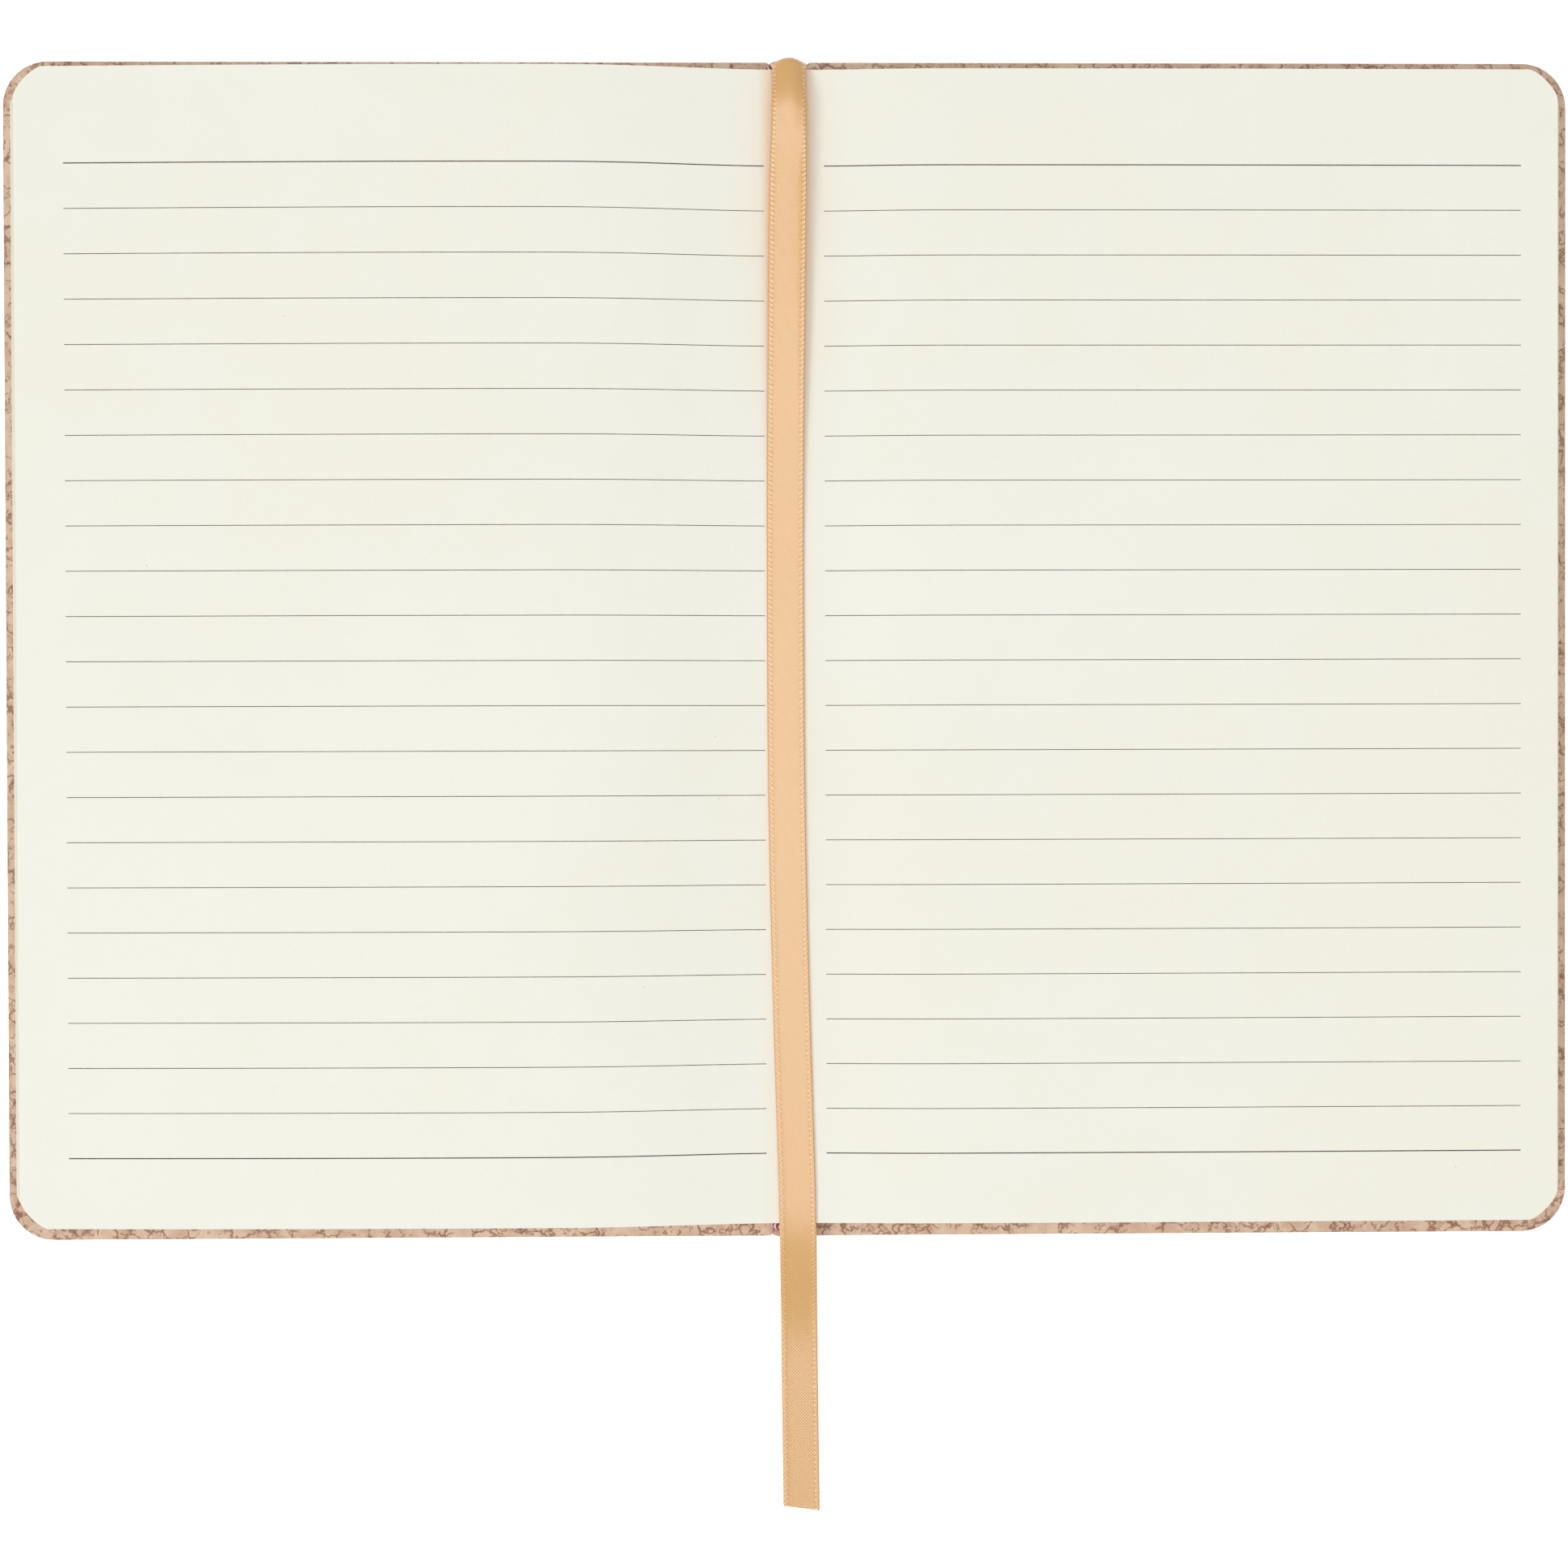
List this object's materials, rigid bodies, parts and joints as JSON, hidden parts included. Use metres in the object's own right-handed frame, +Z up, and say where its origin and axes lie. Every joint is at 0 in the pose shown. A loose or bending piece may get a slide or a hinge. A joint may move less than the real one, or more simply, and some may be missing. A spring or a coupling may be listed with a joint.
{
  "type": "faux leather notebook",
  "caption": "Ruled hardcover notebook lying open, with rounded corners, a cork-print faux leather cover, striped headbands and a satin ribbon marker.",
  "frame": {"origin": "on the table, in the middle of the opened cover, under the spine", "axes": "+X across the opened notebook, towards the back cover; +Y along the spine, towards the head of the pages; +Z up out of the pages"},
  "size_m": [0.2794, 0.2595, 0.0098],
  "materials": {
    "cork_print_skin": "cork-print faux leather, satin",
    "grey_board": "grey board",
    "endpaper": "cream endpaper",
    "cream_paper": "uncoated cream paper with printed rules",
    "lining_gauze": "gauze and paper",
    "inlay_card": "thin card",
    "headband_thread": "red and white striped thread",
    "satin_ribbon": "peach-gold satin"
  },
  "bodies": {
    "pages": {"page_block": "cream_paper", "spine_lining": "lining_gauze", "spine_inlay": "inlay_card", "spine_skin": "cork_print_skin", "head_headband": "headband_thread", "tail_headband": "headband_thread", "ribbon_marker": "satin_ribbon"},
    "front_cover": {"front_board": "grey_board", "front_cover_skin": "cork_print_skin", "front_pastedown": "endpaper"},
    "back_cover": {"back_board": "grey_board", "back_cover_skin": "cork_print_skin", "back_pastedown": "endpaper"}
  },
  "joints": [
    {"name": "front_cover_hinge", "type": "hinge", "parent": "pages", "child": "front_cover", "pos_m": [-0.00295, 0, 0.0026], "axis": [0, -1, 0], "range_deg": [0, 90]},
    {"name": "back_cover_hinge", "type": "hinge", "parent": "pages", "child": "back_cover", "pos_m": [0.00295, 0, 0.0026], "axis": [0, 1, 0], "range_deg": [0, 90]}
  ]
}
